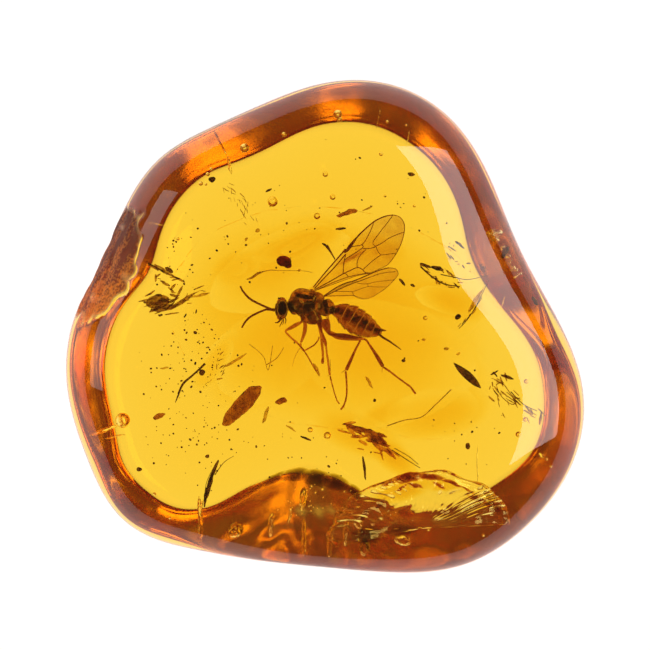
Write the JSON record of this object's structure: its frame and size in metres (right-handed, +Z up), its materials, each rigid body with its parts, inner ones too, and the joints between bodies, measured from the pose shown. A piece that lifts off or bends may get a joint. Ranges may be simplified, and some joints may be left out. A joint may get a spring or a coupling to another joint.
{
  "type": "insect in amber",
  "caption": "Polished honey-yellow amber pebble, domed above and flat below, clear enough to show the small wasp sealed inside it.",
  "frame": {"origin": "centre of the stone's box seen from above, on the flat face that it lies on", "axes": "+Z up through the domed face, +X along the longest way across, +Y across it"},
  "size_m": [0.03, 0.0284, 0.0108],
  "materials": {
    "amber": "clear polished fossil resin, honey yellow, IOR 1.54",
    "insect_cuticle": "dark brown chitin, amber-brown where it is thin, IOR 1.56",
    "insect_wing": "thin brownish membrane with dark brown veins",
    "plant_debris": "brown, torn and matt",
    "sealed_air": "bubbles and cracks full of air, seen as gaps in the amber"
  },
  "bodies": {
    "root": {"amber": "amber"}
  },
  "joints": []
}
